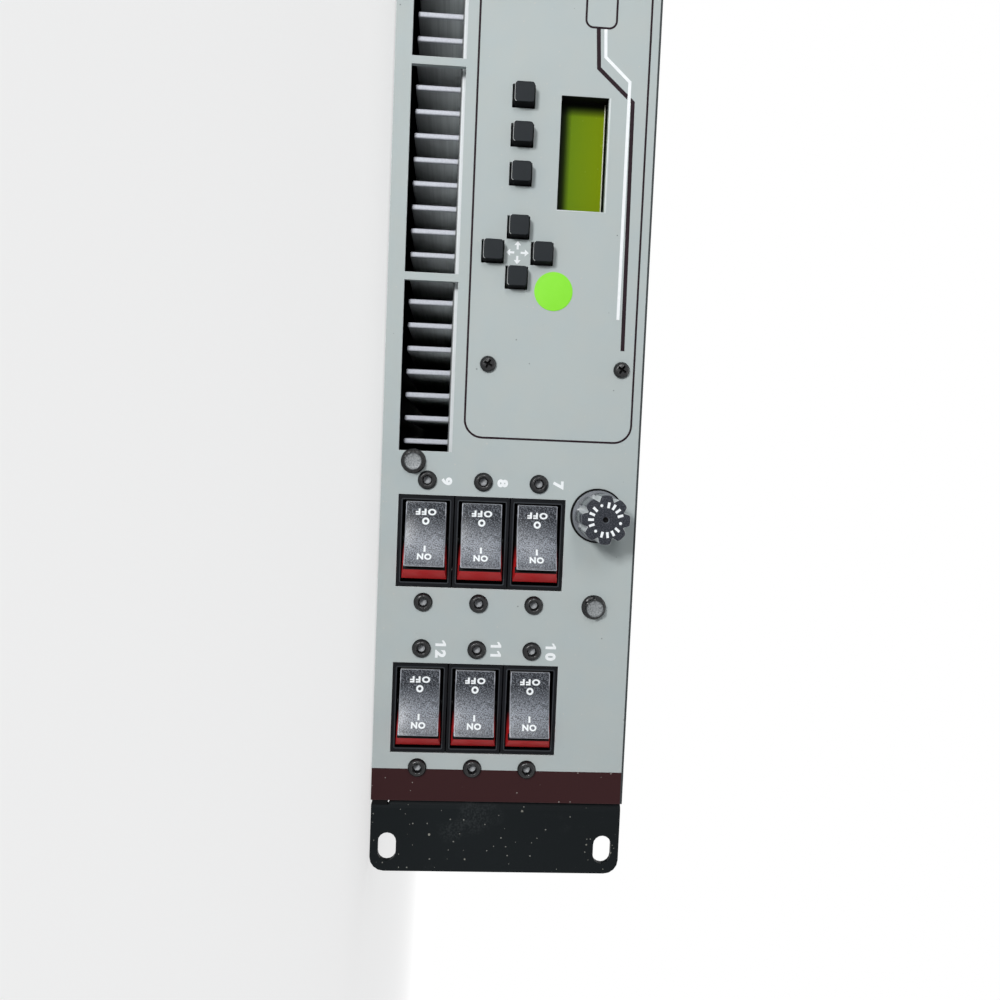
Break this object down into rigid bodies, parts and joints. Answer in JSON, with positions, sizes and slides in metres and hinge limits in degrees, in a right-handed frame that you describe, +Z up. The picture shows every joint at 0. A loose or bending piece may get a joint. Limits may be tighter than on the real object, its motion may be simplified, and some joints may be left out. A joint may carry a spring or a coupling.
{
  "type": "rack dimmer pack",
  "caption": "Two-unit rack dimmer pack with rocker circuit breakers, a small display with push keys, a finned heat sink behind vent windows, a fuse holder and rear fans.",
  "frame": {"origin": "on the surface it stands on, under the middle of its bounding box", "axes": "+X along the front from left to right, +Y from the front panel to the rear, +Z up"},
  "size_m": [0.4826, 0.4136, 0.0881],
  "materials": {
    "panel_paint": "satin pale grey paint",
    "chassis_paint": "black powder coat, slightly worn",
    "aluminium_fins": "extruded, unpainted",
    "circuit_board": "solder-masked board",
    "display_frame": "black",
    "display": "yellow-green liquid-crystal display",
    "fuse_plastic": "moulded black",
    "fuse_glass": "clear tube with metal ends",
    "choke_winding": "enamelled copper wire",
    "laminations": "varnished steel",
    "terminal_plastic": "moulded black",
    "plug_plastic": "moulded green",
    "bushing_plastic": "moulded black",
    "fan_plastic": "moulded black",
    "breaker_plastic": "moulded black",
    "rocker_plastic": "red body with a black satin face",
    "key_plastic": "moulded black"
  },
  "bodies": {
    "chassis": {"front_panel": "panel_paint", "right_side": "chassis_paint", "left_side": "chassis_paint", "chassis_floor": "chassis_paint", "top_cover": "chassis_paint", "rear_panel": "chassis_paint", "heat_sink": "aluminium_fins", "control_board": "circuit_board", "lcd_frame": "display_frame", "lcd_glass": "display", "fuse_holder": "fuse_plastic", "triac_board_right": "circuit_board", "triac_board_left": "circuit_board", "choke_bank_right": "choke_winding", "choke_bank_left": "choke_winding", "control_transformer": "laminations", "supply_terminals": "terminal_plastic", "load_terminals": "terminal_plastic", "control_terminals": "plug_plastic", "cable_bushing_right": "bushing_plastic", "cable_bushing_left": "bushing_plastic", "fan_frame_left": "fan_plastic", "fan_frame_right": "fan_plastic", "breaker_1": "breaker_plastic", "breaker_2": "breaker_plastic", "breaker_3": "breaker_plastic", "breaker_4": "breaker_plastic", "breaker_5": "breaker_plastic", "breaker_6": "breaker_plastic", "breaker_7": "breaker_plastic", "breaker_8": "breaker_plastic", "breaker_9": "breaker_plastic", "breaker_10": "breaker_plastic", "breaker_11": "breaker_plastic", "breaker_12": "breaker_plastic"},
    "rocker_1": {"rocker_1": "rocker_plastic"},
    "rocker_2": {"rocker_2": "rocker_plastic"},
    "rocker_3": {"rocker_3": "rocker_plastic"},
    "rocker_4": {"rocker_4": "rocker_plastic"},
    "rocker_5": {"rocker_5": "rocker_plastic"},
    "rocker_6": {"rocker_6": "rocker_plastic"},
    "rocker_7": {"rocker_7": "rocker_plastic"},
    "rocker_8": {"rocker_8": "rocker_plastic"},
    "rocker_9": {"rocker_9": "rocker_plastic"},
    "rocker_10": {"rocker_10": "rocker_plastic"},
    "rocker_11": {"rocker_11": "rocker_plastic"},
    "rocker_12": {"rocker_12": "rocker_plastic"},
    "key_menu_left": {"key_menu_left": "key_plastic"},
    "key_menu_middle": {"key_menu_middle": "key_plastic"},
    "key_menu_right": {"key_menu_right": "key_plastic"},
    "key_arrow_left": {"key_arrow_left": "key_plastic"},
    "key_arrow_right": {"key_arrow_right": "key_plastic"},
    "key_arrow_down": {"key_arrow_down": "key_plastic"},
    "key_arrow_up": {"key_arrow_up": "key_plastic"},
    "fan_rotor_left": {"fan_rotor_left": "fan_plastic"},
    "fan_rotor_right": {"fan_rotor_right": "fan_plastic"},
    "fuse_link": {"fuse_link": "fuse_glass"},
    "fuse_cap": {"fuse_cap": "fuse_plastic"}
  },
  "joints": [
    {"name": "rocker_1_tilt", "type": "hinge", "parent": "chassis", "child": "rocker_1", "pos_m": [-0.18205, -0.1821, 0.05373], "axis": [0, 0, 1], "range_deg": [0, 30]},
    {"name": "rocker_2_tilt", "type": "hinge", "parent": "chassis", "child": "rocker_2", "pos_m": [-0.18205, -0.1821, 0.03467], "axis": [0, 0, 1], "range_deg": [0, 30]},
    {"name": "rocker_3_tilt", "type": "hinge", "parent": "chassis", "child": "rocker_3", "pos_m": [-0.18205, -0.1821, 0.01562], "axis": [0, 0, 1], "range_deg": [0, 30]},
    {"name": "rocker_4_tilt", "type": "hinge", "parent": "chassis", "child": "rocker_4", "pos_m": [-0.12405, -0.1821, 0.05373], "axis": [0, 0, 1], "range_deg": [0, 30]},
    {"name": "rocker_5_tilt", "type": "hinge", "parent": "chassis", "child": "rocker_5", "pos_m": [-0.12405, -0.1821, 0.03467], "axis": [0, 0, 1], "range_deg": [0, 30]},
    {"name": "rocker_6_tilt", "type": "hinge", "parent": "chassis", "child": "rocker_6", "pos_m": [-0.12405, -0.1821, 0.01562], "axis": [0, 0, 1], "range_deg": [0, 30]},
    {"name": "rocker_7_tilt", "type": "hinge", "parent": "chassis", "child": "rocker_7", "pos_m": [0.12405, -0.1821, 0.05373], "axis": [0, 0, 1], "range_deg": [0, 30]},
    {"name": "rocker_8_tilt", "type": "hinge", "parent": "chassis", "child": "rocker_8", "pos_m": [0.12405, -0.1821, 0.03467], "axis": [0, 0, 1], "range_deg": [0, 30]},
    {"name": "rocker_9_tilt", "type": "hinge", "parent": "chassis", "child": "rocker_9", "pos_m": [0.12405, -0.1821, 0.01562], "axis": [0, 0, 1], "range_deg": [0, 30]},
    {"name": "rocker_10_tilt", "type": "hinge", "parent": "chassis", "child": "rocker_10", "pos_m": [0.18205, -0.1821, 0.05373], "axis": [0, 0, 1], "range_deg": [0, 30]},
    {"name": "rocker_11_tilt", "type": "hinge", "parent": "chassis", "child": "rocker_11", "pos_m": [0.18205, -0.1821, 0.03467], "axis": [0, 0, 1], "range_deg": [0, 30]},
    {"name": "rocker_12_tilt", "type": "hinge", "parent": "chassis", "child": "rocker_12", "pos_m": [0.18205, -0.1821, 0.01562], "axis": [0, 0, 1], "range_deg": [0, 30]},
    {"name": "key_menu_left_press", "type": "slide", "parent": "chassis", "child": "key_menu_left", "axis": [0, 1, 0], "range_m": [0, 0.0012], "stiffness_N_per_m": 500},
    {"name": "key_menu_middle_press", "type": "slide", "parent": "chassis", "child": "key_menu_middle", "axis": [0, 1, 0], "range_m": [0, 0.0012], "stiffness_N_per_m": 500},
    {"name": "key_menu_right_press", "type": "slide", "parent": "chassis", "child": "key_menu_right", "axis": [0, 1, 0], "range_m": [0, 0.0012], "stiffness_N_per_m": 500},
    {"name": "key_arrow_left_press", "type": "slide", "parent": "chassis", "child": "key_arrow_left", "axis": [0, 1, 0], "range_m": [0, 0.0012], "stiffness_N_per_m": 500},
    {"name": "key_arrow_right_press", "type": "slide", "parent": "chassis", "child": "key_arrow_right", "axis": [0, 1, 0], "range_m": [0, 0.0012], "stiffness_N_per_m": 500},
    {"name": "key_arrow_down_press", "type": "slide", "parent": "chassis", "child": "key_arrow_down", "axis": [0, 1, 0], "range_m": [0, 0.0012], "stiffness_N_per_m": 500},
    {"name": "key_arrow_up_press", "type": "slide", "parent": "chassis", "child": "key_arrow_up", "axis": [0, 1, 0], "range_m": [0, 0.0012], "stiffness_N_per_m": 500},
    {"name": "fan_left_spin", "type": "hinge", "parent": "chassis", "child": "fan_rotor_left", "pos_m": [-0.058, 0.19015, 0.04205], "axis": [0, 1, 0], "continuous": true},
    {"name": "fan_right_spin", "type": "hinge", "parent": "chassis", "child": "fan_rotor_right", "pos_m": [0.058, 0.19015, 0.04205], "axis": [0, 1, 0], "continuous": true},
    {"name": "fuse_withdraw", "type": "slide", "parent": "chassis", "child": "fuse_link", "axis": [0, -1, 0], "range_m": [0, 0.032]},
    {"name": "fuse_cap_turn", "type": "hinge", "parent": "fuse_link", "child": "fuse_cap", "pos_m": [0.1132, -0.18985, 0.07435], "axis": [0, -1, 0], "range_deg": [0, 60]}
  ]
}
